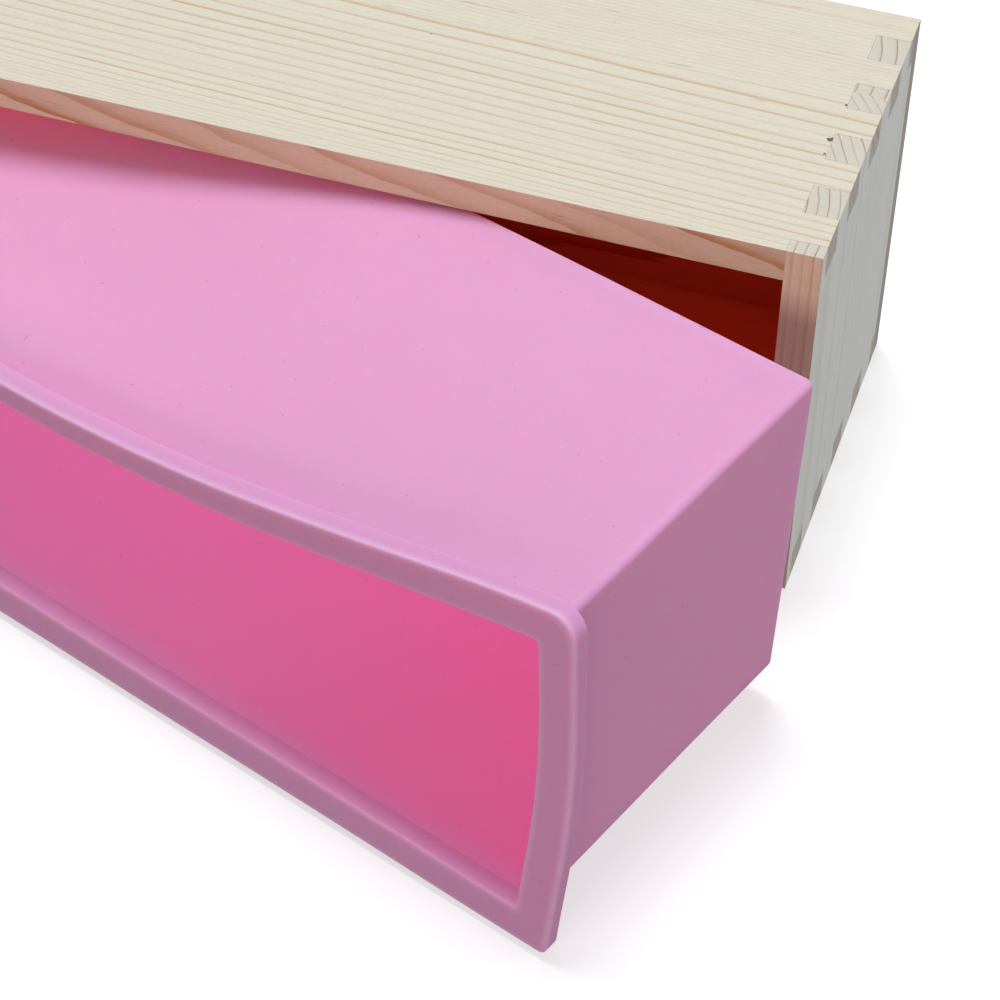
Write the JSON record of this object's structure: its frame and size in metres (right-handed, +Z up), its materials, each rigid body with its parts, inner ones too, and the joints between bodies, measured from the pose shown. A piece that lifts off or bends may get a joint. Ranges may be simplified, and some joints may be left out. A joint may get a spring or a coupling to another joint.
{
  "type": "soap loaf mould",
  "caption": "Finger-jointed pine box lying on its long side, with a flanged pink silicone liner drawn part way out of its mouth.",
  "frame": {"origin": "centre of the box's underside as it lies on one long wall", "axes": "+X along the box to its right-hand end, +Y from the mouth to the floor board, +Z up"},
  "size_m": [0.2852, 0.1845, 0.085],
  "materials": {
    "pine_side": "bare sanded pine, long grain",
    "pine_end": "bare sanded pine, end grain on the fingers",
    "pine_floor": "bare sanded pine, fine grain",
    "silicone": "matte translucent pink silicone"
  },
  "bodies": {
    "box": {"upper_side_rim_board": "pine_side", "upper_side_floor_board": "pine_side", "lower_side_rim_board": "pine_side", "lower_side_floor_board": "pine_side", "right_end_rim_board": "pine_end", "right_end_floor_board": "pine_end", "left_end_rim_board": "pine_end", "left_end_floor_board": "pine_end", "floor_board": "pine_floor"},
    "liner": {"silicone_liner": "silicone"}
  },
  "joints": [
    {"name": "liner_slide", "type": "slide", "parent": "box", "child": "liner", "axis": [0, -1, 0], "range_m": [-0.0035, 0.1]}
  ]
}
